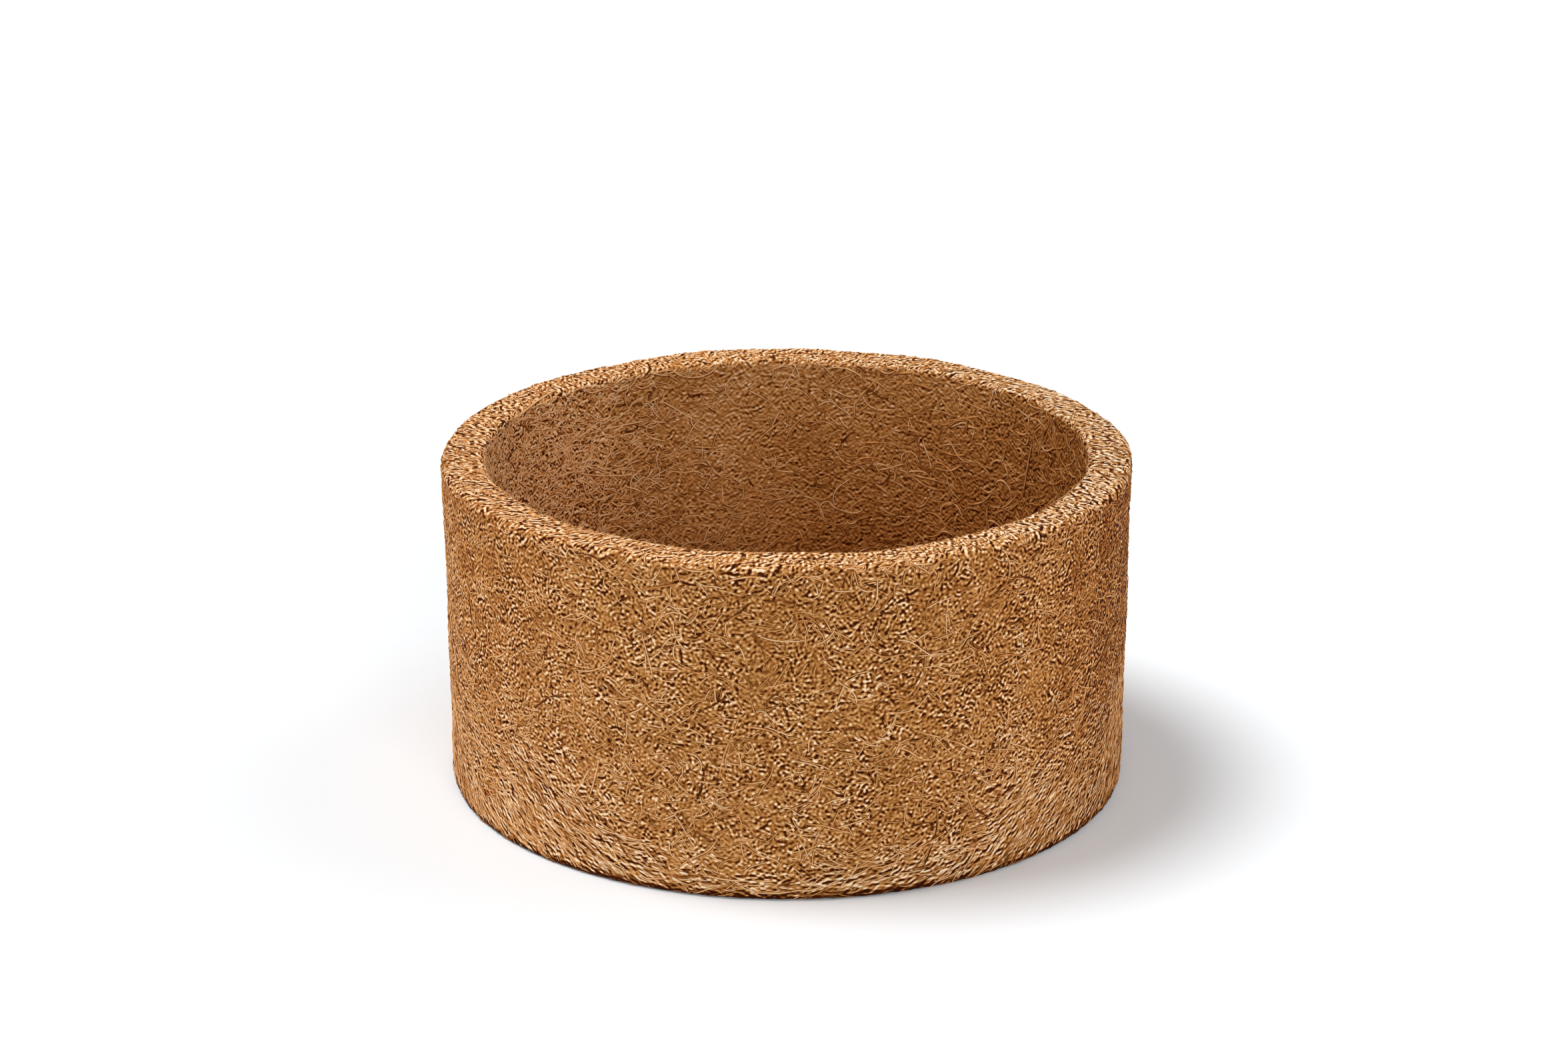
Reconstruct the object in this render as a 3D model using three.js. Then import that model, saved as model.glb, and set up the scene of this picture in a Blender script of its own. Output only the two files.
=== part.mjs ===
// A coir pot: a low round tub of coconut-fibre felt, laid up in two plies that latex holds together.
// Each ply is a strip rolled into a ring, closed by a skived seam, around a disc of the same felt.
// The plies are staggered: their seams lie on opposite sides, and the inner strip stands on the base disc.
// Millimetres, +Z up, with the origin in the middle of the underside.
import * as THREE from "three";

// Driving dimensions
const RIM_DIAMETER = 203; // outside, at the top
const BASE_DIAMETER = 200.7; // outside, at the underside
const HEIGHT = 99.3;
const PLY = 5.85; // thickness of one pressed felt
const COAT = 0.4; // thickness of one cured coat of latex
const FIT_GAP = 0.3; // room left on each side of a coat
const RIM_ROUND = 2; // the rim's outer and inner edges
const FOOT_ROUND = 1.6; // the outer edge that the pot stands on
const TRIM_ROUND = 0.5; // an edge that the knife leaves nearly square
const COAT_SETBACK = 1.2; // how far a coat stops short of the rim, the underside and the floor
const SEAM_RUN = 15; // how far a skived seam slants along the wall

// Fineness of the round forms
const TURN_STEPS = 96; // facets in a full turn
const EDGE_STEP = 0.5; // radius of a rounded edge for each of its facets

// Sizes that follow from these
const GLUE_LINE = COAT + 2 * FIT_GAP; // from felt to felt
const INNER_PLY = PLY + GLUE_LINE; // where the inner ply starts, in from the outer face and up from below
const WALL = INNER_PLY + PLY;
const FLOOR_TOP = WALL; // the floor is as thick as the wall
const WALL_COAT = PLY + FIT_GAP; // where the coat between the walls starts, in from the outer face
const UPSTAND = WALL + FIT_GAP; // where the coat round the floor's edge starts
const BASE_COAT = PLY + FIT_GAP; // the height where the coat between the discs starts
const LEAN = (RIM_DIAMETER - BASE_DIAMETER) / 2 / HEIGHT;
const SKIVE = Math.atan2(PLY, SEAM_RUN); // the slant of a seam through its ply
const OUTER_SEAM_AT = Math.PI / 2; // at the back
const INNER_SEAM_AT = -Math.PI / 2; // at the front

const outerFelt = new THREE.MeshStandardMaterial({ color: 0xa66f45, roughness: 0.85, metalness: 0 });
const innerFelt = new THREE.MeshStandardMaterial({ color: 0x885833, roughness: 0.85, metalness: 0 });
const latex = new THREE.MeshStandardMaterial({ color: 0xd6bd87, roughness: 0.45, metalness: 0 });

// The radius at a height, a given distance in from the leaning outer face.
function radiusAt(height, inset) {
  return BASE_DIAMETER / 2 + LEAN * height - inset;
}

// A profile corner, by its distance in from the outer face, its height and the radius of its edge.
function corner(inset, height, round = 0) {
  return { at: new THREE.Vector2(radiusAt(height, inset), height), round };
}

// A profile corner on the pot's axis.
function onAxis(height) {
  return { at: new THREE.Vector2(0, height), round: 0 };
}

// The outline through these corners, with a curve where an edge is rounded.
function roundedOutline(corners) {
  return corners.flatMap(({ at, round }, i) => {
    if (round === 0) return [at];
    const before = corners.at(i - 1).at;
    const after = corners[(i + 1) % corners.length].at;
    const entry = before.clone().sub(at).setLength(round).add(at);
    const exit = after.clone().sub(at).setLength(round).add(at);
    return new THREE.QuadraticBezierCurve(entry, at, exit).getPoints(Math.ceil(round / EDGE_STEP));
  });
}

// A disc or a sleeve: an outline, given anticlockwise, turned round the pot's axis.
function turned(corners) {
  const outline = roundedOutline(corners);
  const startsOnAxis = outline[0].x === 0;
  const profile = startsOnAxis ? outline : [...outline, outline[0]];
  return new THREE.LatheGeometry(profile, TURN_STEPS).rotateX(Math.PI / 2);
}

// A strip: an outline, given anticlockwise, carried round the pot's axis from one angle to another.
// The angle slides with the depth in the ply, so both ends are skived to the seam's slant.
function rolled(corners, plyInset, from, to, steps) {
  const outline = roundedOutline(corners);
  const count = outline.length;
  const positions = [];
  for (let step = 0; step <= steps; step++) {
    for (const { x: radius, y: height } of outline) {
      const outside = radiusAt(height, plyInset);
      const slide = ((outside - radius) / PLY - 0.5) * SEAM_RUN;
      const angle = from + ((to - from) * step) / steps + slide / outside;
      positions.push(radius * Math.cos(angle), radius * Math.sin(angle), height);
    }
  }
  const faces = [];
  for (let step = 0; step < steps; step++) {
    for (let i = 0; i < count; i++) {
      const here = step * count + i;
      const above = step * count + ((i + 1) % count);
      faces.push(here, here + count, above);
      faces.push(above, here + count, above + count);
    }
  }
  const farEnd = steps * count;
  for (const [a, b, c] of THREE.ShapeUtils.triangulateShape(outline, [])) {
    faces.push(a, b, c);
    faces.push(farEnd + c, farEnd + b, farEnd + a);
  }
  const smooth = new THREE.BufferGeometry();
  smooth.setAttribute("position", new THREE.Float32BufferAttribute(positions, 3));
  smooth.setIndex(faces);
  const faceted = smooth.toNonIndexed();
  faceted.computeVertexNormals();
  return faceted;
}

// Half the angle that a layer of this thickness, lying on the slant of a seam, takes along the wall.
function halfAngle(thickness) {
  return thickness / Math.sin(SKIVE) / RIM_DIAMETER;
}

// A felt strip that goes all the way round, up to the glue line of its own seam.
function feltStrip(corners, plyInset, seamAt) {
  const half = halfAngle(GLUE_LINE);
  return rolled(corners, plyInset, seamAt + half, seamAt + 2 * Math.PI - half, TURN_STEPS);
}

// The latex in a skived seam, a little smaller than the two ends that it joins.
function seamLatex(plyInset, plyBottom, seamAt) {
  const half = halfAngle(COAT);
  const outside = plyInset + FIT_GAP;
  const inside = plyInset + PLY - FIT_GAP;
  const low = plyBottom + COAT_SETBACK;
  const high = HEIGHT - COAT_SETBACK;
  const corners = [corner(inside, low), corner(outside, low), corner(outside, high), corner(inside, high)];
  return rolled(corners, plyInset, seamAt - half, seamAt + half, 1);
}

// The outer ply: the wall that shows from outside, and the disc that shows underneath.
const outerWallStrip = [
  corner(PLY, 0, TRIM_ROUND),
  corner(0, 0, FOOT_ROUND),
  corner(0, HEIGHT, RIM_ROUND),
  corner(PLY, HEIGHT, TRIM_ROUND),
];
const baseDisc = [
  onAxis(0),
  corner(INNER_PLY, 0, TRIM_ROUND),
  corner(INNER_PLY, PLY, TRIM_ROUND),
  onAxis(PLY),
];

// The inner ply: the wall that shows from inside, and the floor that it encloses.
const innerWallStrip = [
  corner(WALL, INNER_PLY, TRIM_ROUND),
  corner(INNER_PLY, INNER_PLY, TRIM_ROUND),
  corner(INNER_PLY, HEIGHT, TRIM_ROUND),
  corner(WALL, HEIGHT, RIM_ROUND),
];
const floorDisc = [
  onAxis(INNER_PLY),
  corner(WALL + GLUE_LINE, INNER_PLY, TRIM_ROUND),
  corner(WALL + GLUE_LINE, FLOOR_TOP, TRIM_ROUND),
  onAxis(FLOOR_TOP),
];

// The latex between the walls: a sleeve that also holds the base disc's edge in the outer strip.
const wallLatexCoat = [
  corner(WALL_COAT + COAT, COAT_SETBACK),
  corner(WALL_COAT, COAT_SETBACK),
  corner(WALL_COAT, HEIGHT - COAT_SETBACK),
  corner(WALL_COAT + COAT, HEIGHT - COAT_SETBACK),
];

// The latex between the discs: a sheet under the inner strip and the floor, turned up round the floor's edge.
const baseLatexCoat = [
  onAxis(BASE_COAT),
  corner(INNER_PLY, BASE_COAT),
  corner(INNER_PLY, BASE_COAT + COAT),
  corner(UPSTAND, BASE_COAT + COAT),
  corner(UPSTAND, FLOOR_TOP - COAT_SETBACK),
  corner(UPSTAND + COAT, FLOOR_TOP - COAT_SETBACK),
  corner(UPSTAND + COAT, BASE_COAT + COAT),
  onAxis(BASE_COAT + COAT),
];

const coirPot = new THREE.Group();
coirPot.name = "coir_pot";

// Adds one named piece to the pot.
function addPiece(name, geometry, material) {
  const piece = new THREE.Mesh(geometry, material);
  piece.name = name;
  coirPot.add(piece);
}

addPiece("outer_wall_strip", feltStrip(outerWallStrip, 0, OUTER_SEAM_AT), outerFelt);
addPiece("inner_wall_strip", feltStrip(innerWallStrip, INNER_PLY, INNER_SEAM_AT), innerFelt);
addPiece("base_disc", turned(baseDisc), outerFelt);
addPiece("floor_disc", turned(floorDisc), innerFelt);
addPiece("wall_latex_coat", turned(wallLatexCoat), latex);
addPiece("base_latex_coat", turned(baseLatexCoat), latex);
addPiece("outer_seam_latex", seamLatex(0, 0, OUTER_SEAM_AT), latex);
addPiece("inner_seam_latex", seamLatex(INNER_PLY, INNER_PLY, INNER_SEAM_AT), latex);

export default coirPot;
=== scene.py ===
# %% [markdown]
# # A coir pot, pressed from felt
#
# The pot is felt: stiff coconut fibres, matted together, pressed and bonded with latex. From a step away its
# surface is a golden mat of short bent strokes with dark gaps between them, and here and there a fibre lies
# loose on top. A bump map on a cylinder looks like cork, so here the mat is a real relief, worked out stroke
# by stroke on a fine grid, and the loose fibres are meshes of their own.

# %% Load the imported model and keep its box
import math
from collections.abc import Callable
from dataclasses import dataclass, replace

import bpy
import numpy as np
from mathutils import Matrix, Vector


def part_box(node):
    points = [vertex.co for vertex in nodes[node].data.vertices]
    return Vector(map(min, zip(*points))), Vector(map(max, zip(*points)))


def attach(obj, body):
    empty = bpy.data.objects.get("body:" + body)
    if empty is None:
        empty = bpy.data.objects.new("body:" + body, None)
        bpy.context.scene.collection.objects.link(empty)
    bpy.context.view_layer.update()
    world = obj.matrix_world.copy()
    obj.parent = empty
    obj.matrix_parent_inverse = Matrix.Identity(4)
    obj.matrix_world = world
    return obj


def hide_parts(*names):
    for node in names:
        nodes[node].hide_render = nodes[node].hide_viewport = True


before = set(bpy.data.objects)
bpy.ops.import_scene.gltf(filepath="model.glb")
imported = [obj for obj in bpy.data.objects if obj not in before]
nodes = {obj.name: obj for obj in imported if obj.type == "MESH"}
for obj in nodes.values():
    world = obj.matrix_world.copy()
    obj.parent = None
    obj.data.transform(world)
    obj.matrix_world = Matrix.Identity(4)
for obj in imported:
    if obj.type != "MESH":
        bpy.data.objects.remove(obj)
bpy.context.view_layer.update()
print("CAD nodes:", ", ".join(sorted(nodes)))

# %% [markdown]
# ## Sizes
# The frame is in metres, but strands are easier to think about in millimetres, so each mesh is worked out in
# millimetres and scaled once. The pot's own sizes are read from the boxes of the CAD pieces, so a change in
# the CAD carries over.

# %% Read the pot's sizes in millimetres
MM = 0.001
TURN = 2 * math.pi


def box_mm(node):
    """A CAD node's lowest and highest corner, in millimetres."""
    low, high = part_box(node)
    return np.array(low) / MM, np.array(high) / MM


rim_radius, _, height = box_mm("outer_wall_strip")[1]
ply = box_mm("base_disc")[1][2]
floor_radius, _, floor_top = box_mm("floor_disc")[1]
inner_ply_in = rim_radius - box_mm("inner_wall_strip")[1][0]
inner_ply_up = box_mm("inner_wall_strip")[0][2]
base_radius = box_mm("base_disc")[1][0] + inner_ply_in
wall = inner_ply_in + ply
lean = (rim_radius - base_radius) / height
print(f"rim {2 * rim_radius:.1f} across, {height:.1f} high, wall {wall:.1f}, floor at {floor_top:.1f}")

# %% [markdown]
# ## Camera
# A camera was fitted to the ellipses of the rim and the foot: a long lens, a little above the rim, looking
# straight at the pot. The fit is in rim radii, so it holds whatever the pot's real size is.

# %% Place the camera
PHOTO_WIDTH = 2352
FOCAL_PIXELS = 5792
PITCH = math.radians(19.54)
DISTANCE_RADII = 11.28
AIM_RADII = (-0.0081, 0.0, 0.751)


def place_object(name, data):
    """A new object in the scene."""
    placed = bpy.data.objects.new(name, data)
    bpy.context.scene.collection.objects.link(placed)
    return placed


camera = bpy.data.cameras.new("camera")
camera.sensor_width = 36
camera.lens = camera.sensor_width * FOCAL_PIXELS / PHOTO_WIDTH
camera_object = place_object("camera", camera)
aim = np.array(AIM_RADII) * rim_radius * MM
away = np.array([0, -math.cos(PITCH), math.sin(PITCH)]) * DISTANCE_RADII * rim_radius * MM
camera_object.location = aim + away
camera_object.rotation_euler = (math.pi / 2 - PITCH, 0, 0)
bpy.context.scene.camera = camera_object
print(f"lens {camera.lens:.1f} mm, {np.linalg.norm(away):.2f} m from the pot")

# %% [markdown]
# ## Shader arithmetic
# Node trees are easier to read as expressions. Value wraps one output socket, so a + b or 2 * a adds a Math
# node, and NodeTree.add makes every other node from its type, its settings and its sockets.

# %% Wrap node trees


class Value:
    """An output socket of a node tree. Arithmetic on it adds Math nodes to the same tree."""

    def __init__(self, tree, socket):
        self.tree = tree
        self.socket = socket

    def math(self, operation, first, second):
        return self.tree.add("Math", {"operation": operation}, {0: first, 1: second})

    def __add__(self, other):
        return self.math("ADD", self, other)

    def __sub__(self, other):
        return self.math("SUBTRACT", self, other)

    def __rsub__(self, other):
        return self.math("SUBTRACT", other, self)

    def __mul__(self, other):
        return self.math("MULTIPLY", self, other)

    __radd__ = __add__
    __rmul__ = __mul__


class NodeTree:
    """The nodes of a material or a world, added one at a time."""

    def __init__(self, owner):
        owner.use_nodes = True
        self.tree = owner.node_tree

    def add(self, kind, settings=None, sockets=None, output=0):
        """A new node: its settings first, a ramp's colours among them, then its sockets' values or links."""
        node = self.tree.nodes.new("ShaderNode" + kind)
        for name, value in (settings or {}).items():
            if name == "colours":
                set_colours(node.color_ramp, value)
            else:
                setattr(node, name, value)
        for name, value in (sockets or {}).items():
            self.plug(node.inputs[name], value)
        return Value(self, node.outputs[output])

    def plug(self, socket, value):
        """Links a Value to a socket, or sets the socket to a plain number or colour."""
        if isinstance(value, Value):
            self.tree.links.new(value.socket, socket)
        else:
            socket.default_value = value

    def mix(self, factor, first, second):
        """Two colours, mixed by a factor."""
        return self.add("Mix", {"data_type": "RGBA"}, {0: factor, 6: first, 7: second}, output=2)

    def split(self, vector, axes):
        """The parts of a vector along these axes."""
        return [self.add("SeparateXYZ", sockets={0: vector}, output=axis) for axis in axes]


def set_colours(ramp, colours):
    """Gives a colour ramp these screen colours, evenly spaced."""
    while len(ramp.elements) < len(colours):
        ramp.elements.new(1.0)
    for i, colour in enumerate(colours):
        ramp.elements[i].position = i / (len(colours) - 1)
        ramp.elements[i].color = srgb(*colour)


def srgb(red, green, blue):
    """A colour as it is read off a screen, 0 to 255, in the linear values that shaders use."""
    screen = np.array([red, green, blue]) / 255
    linear = np.where(screen <= 0.04045, screen / 12.92, ((screen + 0.055) / 1.055) ** 2.4)
    return (*linear.tolist(), 1.0)


def new_material(name, **constants):
    """A material, its node tree and its shader, with constants set on the shader's own sockets."""
    material = bpy.data.materials.new(name)
    tree = NodeTree(material)
    shader = tree.tree.nodes["Principled BSDF"]
    for socket, value in constants.items():
        shader.inputs[socket.replace("_", " ")].default_value = value
    return material, tree, shader


# %% [markdown]
# ## Stage
# The pot stands on a white sweep, with a soft shadow on its right. A diffuse floor stays white where the
# light reaches it and keeps the shadow. The light is an even sky and three wide, soft suns: a high one from
# the left, which casts that shadow, and weaker ones from the front and the right, which reach into the pot.

# %% Light the stage
SKY_STRENGTH = 0.26
SUNS = {
    "left_sun": {"strength": 2.1, "elevation": 68, "bearing": 172, "width": 25},
    "front_sun": {"strength": 1.08, "elevation": 26, "bearing": 281, "width": 40},
    "right_sun": {"strength": 0.52, "elevation": 46, "bearing": 12, "width": 40},
}
FLOOR_RADIUS = 6.0
FLOOR_STEPS = 96
FLOOR_WHITE = (0.905, 0.935, 0.96, 1)


def together(*parts):
    """Vectors, put together from arrays of their parts."""
    return np.stack(np.broadcast_arrays(*parts), axis=-1)


def turned(radius, angle, level):
    """Points or directions at this angle about the pot's axis."""
    return together(radius * np.cos(angle), radius * np.sin(angle), level)


def hang_sun(name, strength, elevation, bearing, width):
    """A sun, so high above the floor and from that side of the pot, as wide as it looks; all in degrees."""
    sun = bpy.data.lights.new(name, "SUN")
    sun.energy = strength
    sun.angle = math.radians(width)
    place_object(name, sun).rotation_euler = (0, math.radians(90 - elevation), math.radians(bearing))


def hang_sky():
    """An even sky, which looks white to the camera and to reflections."""
    world = bpy.data.worlds.new("sky")
    bpy.context.scene.world = world
    sky = NodeTree(world)
    to_camera, to_gloss, to_glass = (
        sky.add("LightPath", output=ray) for ray in ("Is Camera Ray", "Is Glossy Ray", "Is Transmission Ray")
    )
    shown = sky.add("Clamp", sockets={"Value": to_camera + to_gloss + to_glass})
    background = sky.tree.nodes["Background"]
    background.inputs["Color"].default_value = (1, 1, 1, 1)
    sky.plug(background.inputs["Strength"], SKY_STRENGTH + (1 - SKY_STRENGTH) * shown)


def lay_the_floor():
    """A round white floor: a ring of points and one face."""
    angle = np.linspace(0, TURN, FLOOR_STEPS, endpoint=False)
    mesh = bpy.data.meshes.new("floor")
    mesh.from_pydata(turned(FLOOR_RADIUS, angle, 0).tolist(), [], [list(range(FLOOR_STEPS))])
    material, _, _ = new_material("white_sweep", Base_Color=FLOOR_WHITE, Roughness=1.0)
    mesh.materials.append(material)
    floor = place_object("floor", mesh)


hang_sky()
for name, sun in SUNS.items():
    hang_sun(name, **sun)
lay_the_floor()
bpy.context.scene.view_settings.view_transform = "Standard"
print("stage: a sky, three suns and a white floor")

# %% [markdown]
# ## The skin
# One curve describes the felt's face in section: out along the underside, round the foot, up the outer wall,
# over the rim and down the inner wall. A place on the pot is then an angle and a length along that curve,
# and the felt can be worked out on it as on a flat sheet.

# %% Draw the skin's profile
RIM_ROUND, FOOT_ROUND = 2.0, 1.6  # as in the CAD, because a box doesn't show them
ARC_STEPS = 6


def unit(vectors):
    """The directions of vectors, with a length of 1."""
    return vectors / np.linalg.norm(vectors, axis=-1, keepdims=True)


def rounded_profile(corners, rounds):
    """The curve through (radius, height) corners as rows of length along it, radius, height and normal.

    A side's normal is its direction turned a quarter turn to the right. A corner is an arc from one side's
    normal to the next one's, whose centre lies back from the corner along both normals. The lengths where
    each arc starts and ends are returned as well."""
    corners = np.array(corners, float)
    sides = unit(np.diff(corners, axis=0))
    normals = together(sides[:, 1], -sides[:, 0])
    turns = np.unwrap(np.arctan2(normals[:, 1], normals[:, 0]))
    points, facing = [corners[:1]], [normals[:1]]
    for i, edge_round in enumerate(rounds):
        before, after = normals[i], normals[i + 1]
        centre = corners[i + 1] - edge_round * (before + after) / (1 + before @ after)
        sweep = np.linspace(turns[i], turns[i + 1], ARC_STEPS + 1)
        arc = together(np.cos(sweep), np.sin(sweep))
        points.append(centre + edge_round * arc)
        facing.append(arc)
    points = np.concatenate([*points, corners[-1:]])
    facing = np.concatenate([*facing, normals[-1:]])
    along = np.concatenate([[0], np.cumsum(np.linalg.norm(np.diff(points, axis=0), axis=1))])
    arcs = [(along[1 + i * (ARC_STEPS + 1)], along[(i + 1) * (ARC_STEPS + 1)]) for i in range(len(rounds))]
    return np.column_stack([along, points, facing]), arcs


def outer_radius(level):
    """The radius of the outer face at a height."""
    return base_radius + lean * level


skin, (foot_arc, rim_arc, lip_arc) = rounded_profile(
    [
        (base_radius - ply, 0),
        (base_radius, 0),
        (rim_radius, height),
        (rim_radius - wall, height),
        (outer_radius(floor_top) - wall, floor_top),
    ],
    [FOOT_ROUND, RIM_ROUND, RIM_ROUND],
)
skin_end = skin[-1, 0]


def skin_radius(along):
    """The skin's radius at a length along it."""
    return np.interp(along, skin[:, 0], skin[:, 1])


print(f"skin: {skin_end:.0f} mm along, with the rim from {rim_arc[0]:.0f} to {lip_arc[1]:.0f}")

# %% [markdown]
# The felt isn't dead true: it swells a little here and there. The swell is worked out from the place alone,
# so the mat and the strands agree about it. It fades out at the foot, which stands flat.

# %% Let the felt swell
SWELL_WAVES = 16
WAVE_TURNS = (2, 15)  # the fewest waves round the pot, and one more than the most
WAVE_RISE = 0.07  # how far a wave usually turns along each millimetre
SWELL_HEIGHT = 0.22
SWELL_FADE = 14.0
wave_draw = np.random.default_rng(11)
wave_turns = wave_draw.integers(*WAVE_TURNS, SWELL_WAVES)
wave_rises = wave_draw.normal(0, WAVE_RISE, SWELL_WAVES)
wave_phases = wave_draw.uniform(0, TURN, SWELL_WAVES)


def slow_waves(angle, along, finer=(1, 1), shift=0):
    """A sum of slow waves, mostly between -1.5 and 1.5. For other patterns the same waves are so many times
    finer round and up the wall, and shifted round it."""
    turns = wave_turns * (finer[0] * angle + shift)[..., None]
    rises = wave_rises * (finer[1] * along)[..., None]
    phase = turns + rises + wave_phases
    return np.sin(phase).sum(axis=-1) * math.sqrt(2 / SWELL_WAVES)


def swell(angle, along):
    """How far the felt stands proud of its nominal face, in mm."""
    fade = np.clip((along - foot_arc[1]) / SWELL_FADE, 0, 1)
    return SWELL_HEIGHT * fade * slow_waves(angle, along)


def on_skin(angle, along, lift):
    """Points on the pot's skin and the normals there: the profile's point, moved along its normal by the
    lift and the swell, and turned to its angle."""
    radius, level, outward, upward = (np.interp(along, skin[:, 0], skin[:, i]) for i in range(1, 5))
    raised = lift + swell(angle, along)
    points = turned(radius + outward * raised, angle, level + upward * raised)
    return points, turned(outward, angle, upward)


# %% [markdown]
# ## Coir finishes
# Coir runs from dark husk brown to pale straw, and the felt has rosier and more golden patches. Two finishes
# share those colours. A strand carries its place among them in a map of its own: across is tone, up is how
# rosy it is. The map has the name of the export's own map, so that the export keeps it, and the colour is a
# smooth function of it, however fine the strands are.
#
# Felt has the same colours, and its finest grain, little more than a millimetre from gap to gap, is a Gabor
# texture: short waves, added up, that lie the way the felt was laid.

# %% Mix the coir finishes
COIR_MAP = "OFBake"
DRY = {"Roughness": 0.75, "Specular_IOR_Level": 0.03}
GRAIN_PERIOD = 1.3  # from gap to gap
GRAIN_WAVES = 2.0  # gaps in a cell of the texture
GABOR_SPREAD = 1 / 12  # how far a Gabor texture usually is from its middle, one half
GOLDEN = [(54, 18, 4), (130, 77, 28), (174, 120, 64), (212, 166, 110), (250, 233, 207)]
ROSY = [(60, 20, 8), (136, 74, 28), (186, 119, 60), (227, 160, 94), (253, 215, 170)]


def coir_colour(tree, tone, rosiness):
    """The colour of dry coir of this tone and rosiness."""
    golden = tree.add("ValToRGB", {"colours": GOLDEN}, {0: tone})
    rosy = tree.add("ValToRGB", {"colours": ROSY}, {0: tone})
    return tree.mix(rosiness, golden, rosy)


def strand_finish():
    """Strands, whose colour is read from their own map: tone across, rosiness up."""
    material, tree, shader = new_material("coir_strand", **DRY)
    tone, rosiness = tree.split(tree.add("UVMap", {"uv_map": COIR_MAP}), "XY")
    tree.plug(shader.inputs["Base Color"], coir_colour(tree, tone, rosiness))
    return material


def felt_finish():
    """Felt, whose points carry three vectors: their place on the sheet; the lay of the grain, which is the
    direction across it and how strictly it keeps to that; and their tone, contrast and rosiness."""
    material, tree, shader = new_material("coir_felt", **DRY)
    sheet, lay, colour = (
        tree.add("Attribute", {"attribute_name": name}, output="Vector")
        for name in ("sheet", "lay", "colour")
    )
    across, strict = tree.split(lay, "XY")
    tone, contrast, rosiness = tree.split(colour, "XYZ")
    waves = {
        "Vector": sheet,
        "Scale": 1 / (GRAIN_PERIOD * GRAIN_WAVES),
        "Frequency": GRAIN_WAVES,
        "Anisotropy": strict,
        "Orientation 2D": across,
    }
    grain = (tree.add("TexGabor", sockets=waves) - 0.5) * (1 / GABOR_SPREAD)
    tree.plug(shader.inputs["Base Color"], coir_colour(tree, tone + contrast * grain, rosiness))
    return material


coir_strand = strand_finish()
coir_felt = felt_finish()
print("finishes:", coir_strand.name, "and", coir_felt.name)

# %% [markdown]
# ## Meshes
# Every piece goes through one function: points in millimetres, faces as index arrays, and each face corner's
# place on the map.

# %% Make pieces from arrays


def keep_sharp(mesh, border):
    """Keeps the edges between two border points sharp, so that smooth shading doesn't run round them."""
    ends = np.empty(2 * len(mesh.edges), np.int32)
    mesh.edges.foreach_get("vertices", ends)
    mesh.edges.foreach_set("use_edge_sharp", border[ends].reshape(-1, 2).all(axis=1))


def corners_of(face_groups):
    """The point at each corner of each face."""
    return np.concatenate([group.ravel() for group in face_groups])


def make_piece(name, points, face_groups, slot, node, material, chart, border=None, **attributes):
    """A mesh piece of these points and faces, with its map and the vectors that its points carry. It rides on
    the pot's one body and stands for a CAD node."""
    mesh = bpy.data.meshes.new(name)
    corners = corners_of(face_groups)
    sizes = np.concatenate([np.full(len(group), group.shape[1]) for group in face_groups])
    mesh.vertices.add(len(points))
    mesh.vertices.foreach_set("co", (points * MM).astype(np.float32).ravel())
    mesh.loops.add(len(corners))
    mesh.loops.foreach_set("vertex_index", corners.astype(np.int32))
    mesh.polygons.add(len(sizes))
    mesh.polygons.foreach_set("loop_start", (np.cumsum(sizes) - sizes).astype(np.int32))
    mesh.uv_layers.new(name=COIR_MAP).uv.foreach_set("vector", chart.astype(np.float32).ravel())
    mesh.update(calc_edges=True)
    mesh.validate()
    mesh.shade_smooth()
    if border is not None:
        keep_sharp(mesh, border)
    for key, vectors in attributes.items():
        carried = mesh.attributes.new(key, "FLOAT_VECTOR", "POINT")
        carried.data.foreach_set("vector", vectors.astype(np.float32).ravel())
    mesh.materials.append(material)
    piece = place_object(name, mesh)
    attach(piece, "root")
    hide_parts(node)
    print(f"{name}: {(sizes - 2).sum()} triangles")


# %% [markdown]
# ## Strokes
# Pressed coir shows as short bent strokes: light where a fibre comes up, with a dark gap on either side. One
# stroke is a wave across a bent path, under a bell that fades it out. Thousands of them, added up on a fine
# grid, give one field over the sheet of felt, and the field is used twice, as the relief and as the tone, so
# the low gaps are darker too: partly the felt's own grain, partly painted shade. Two grains are mixed: a fine
# one everywhere, and a few bold, longer strokes.

# %% Describe the grains and add up strokes


@dataclass(frozen=True)
class Grain:
    """A family of strokes. Lengths are in millimetres, and a pair is a range."""

    density: float  # strokes for each square millimetre
    length: tuple  # from a stroke's middle to where it has faded
    period: tuple  # from gap to gap
    bend: float  # usual turn along each millimetre
    strength: float


FINE = Grain(density=1.6, length=(0.7, 1.8), period=(1.5, 2.3), bend=0.3, strength=1.0)
BOLD = Grain(density=0.2, length=(1.0, 3.0), period=(1.4, 2.0), bend=0.25, strength=1.8)
FADED = 1.7  # lengths from a stroke's middle to where it is left off
CHUNK = 8000
COMBED_LONGER = 0.5
CELL, INNER_CELL = 0.46, 0.6  # steps of the grid on the outer ply, and along the inner one
TURN_STEPS = 12 * round(TURN * rim_radius / CELL / 12)  # whole dozens, to be cut into sectors
TURN_STEP = TURN * rim_radius / TURN_STEPS


def draw_strokes(random, grain, x, y, heading, straight, stretch):
    """Strokes of a grain in these places, as rows of x, y, heading, stretch, length, period, bend and size.
    Where felt is combed straight, from 0 to 1, strokes are longer and bend less. Sizes are drawn from a
    two-sided spread: most strokes are faint, and a few are bold, light or dark."""
    count = len(x)
    length = random.uniform(*grain.length, count) * (1 + COMBED_LONGER * straight)
    period = random.uniform(*grain.period, count)
    bend = random.normal(0, grain.bend, count) * (1 - straight)
    size = grain.strength * random.laplace(0, 1, count)
    return np.stack([x, y, heading, stretch, length, period, bend, size])


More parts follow.
